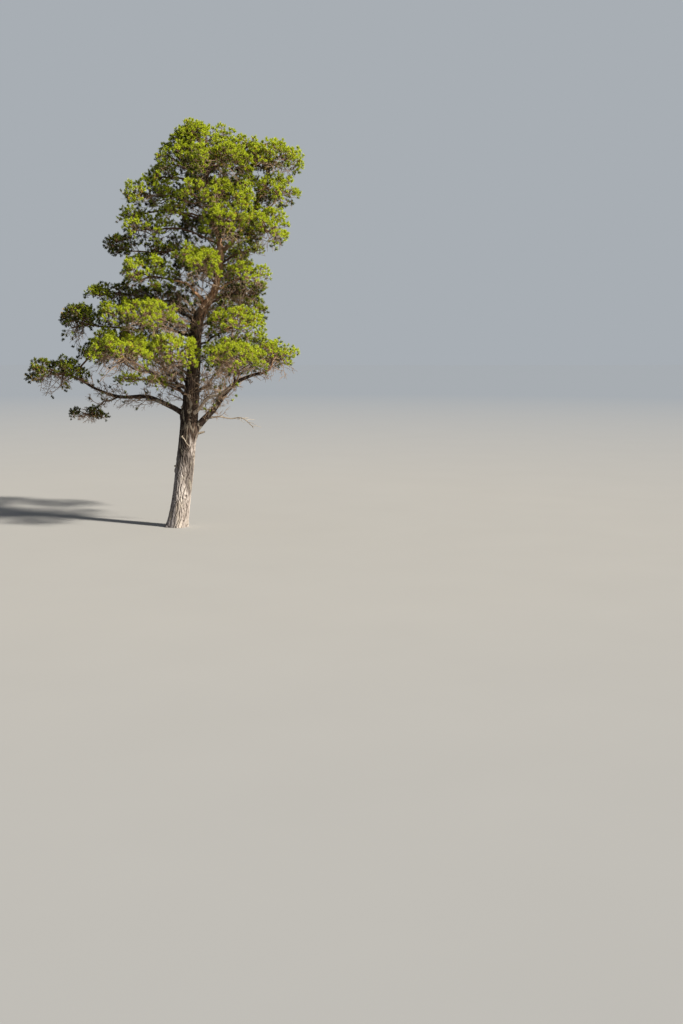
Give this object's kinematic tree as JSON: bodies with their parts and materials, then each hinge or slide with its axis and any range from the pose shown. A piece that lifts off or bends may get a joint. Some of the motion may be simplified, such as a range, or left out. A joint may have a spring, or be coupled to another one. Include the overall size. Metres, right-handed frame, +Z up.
{
  "type": "scots pine tree",
  "caption": "Mature Scots pine on open ground, with a clean leaning trunk, a forked leader, crooked low boughs and flat plates of needles.",
  "frame": {"origin": "middle of the flat cut under the trunk, at ground level", "axes": "+Z up; the pictured view looks along +Y with +X to the right, towards which the trunk leans"},
  "size_m": [8.3725, 6.4942, 11.9924],
  "materials": {
    "bark_trunk": "matt grey-beige bark in long plates with dark upright fissures",
    "bark_bough": "matt dark brown scaly bark, greyer on the upper side",
    "bark_orange": "thin flaking orange-brown bark of the upper limbs",
    "dead_wood": "bare weathered grey wood",
    "needles_lit": "yellow-green needles in upright tufts, slightly waxy",
    "needles_shade": "dark green needles of the shaded plates, slightly waxy"
  },
  "bodies": {
    "root": {"trunk": "bark_trunk", "bough_low_left": "bark_bough", "bough_droop_left": "bark_bough", "bough_under_left": "bark_bough", "bough_inner_left": "bark_bough", "bough_low_right": "bark_bough", "bough_low_right_fork": "bark_bough", "bough_front_right": "bark_bough", "bough_back_right": "bark_bough", "bough_back_left": "bark_bough", "bough_front_left": "bark_bough", "dead_branch_right": "dead_wood", "bough_mid_left": "bark_bough", "bough_mid_left_inner": "bark_bough", "bough_mid_right": "bark_bough", "bough_mid_front": "bark_bough", "bough_mid_back": "bark_bough", "bough_mid_back_left": "bark_bough", "bough_dark_left": "bark_bough", "bough_curved_left": "bark_orange", "bough_upper_right": "bark_orange", "bough_high_left": "bark_orange", "bough_fork_right": "bark_orange", "bough_fork_right_side": "bark_orange", "needles_droop_left": "needles_shade", "needles_far_left": "needles_shade", "needles_low_left": "needles_lit", "needles_inner_left": "needles_lit", "needles_low_right": "needles_lit", "needles_inner_right": "needles_lit", "needles_front_right": "needles_lit", "needles_back_right": "needles_shade", "needles_back_left": "needles_shade", "needles_front_left": "needles_lit", "needles_mid_left_tip": "needles_shade", "needles_mid_left": "needles_lit", "needles_mid_right": "needles_lit", "needles_mid_front": "needles_lit", "needles_mid_back": "needles_shade", "needles_mid_back_left": "needles_shade", "needles_dark_left": "needles_shade", "needles_upper_left": "needles_lit", "needles_centre_front": "needles_lit", "needles_upper_right": "needles_lit", "needles_dark_right": "needles_shade", "needles_upper_back": "needles_shade", "needles_high_left_tip": "needles_shade", "needles_high_left": "needles_lit", "needles_high_right": "needles_lit", "needles_high_front": "needles_lit", "needles_high_back": "needles_shade", "needles_shoulder_left": "needles_lit", "needles_shoulder_front": "needles_lit", "needles_shoulder_right": "needles_lit", "needles_shoulder_back": "needles_shade", "needles_top_right": "needles_lit", "needles_top_left": "needles_lit", "needles_top_front": "needles_lit", "needles_top_back": "needles_lit", "needles_crown_top": "needles_lit"}
  },
  "joints": []
}
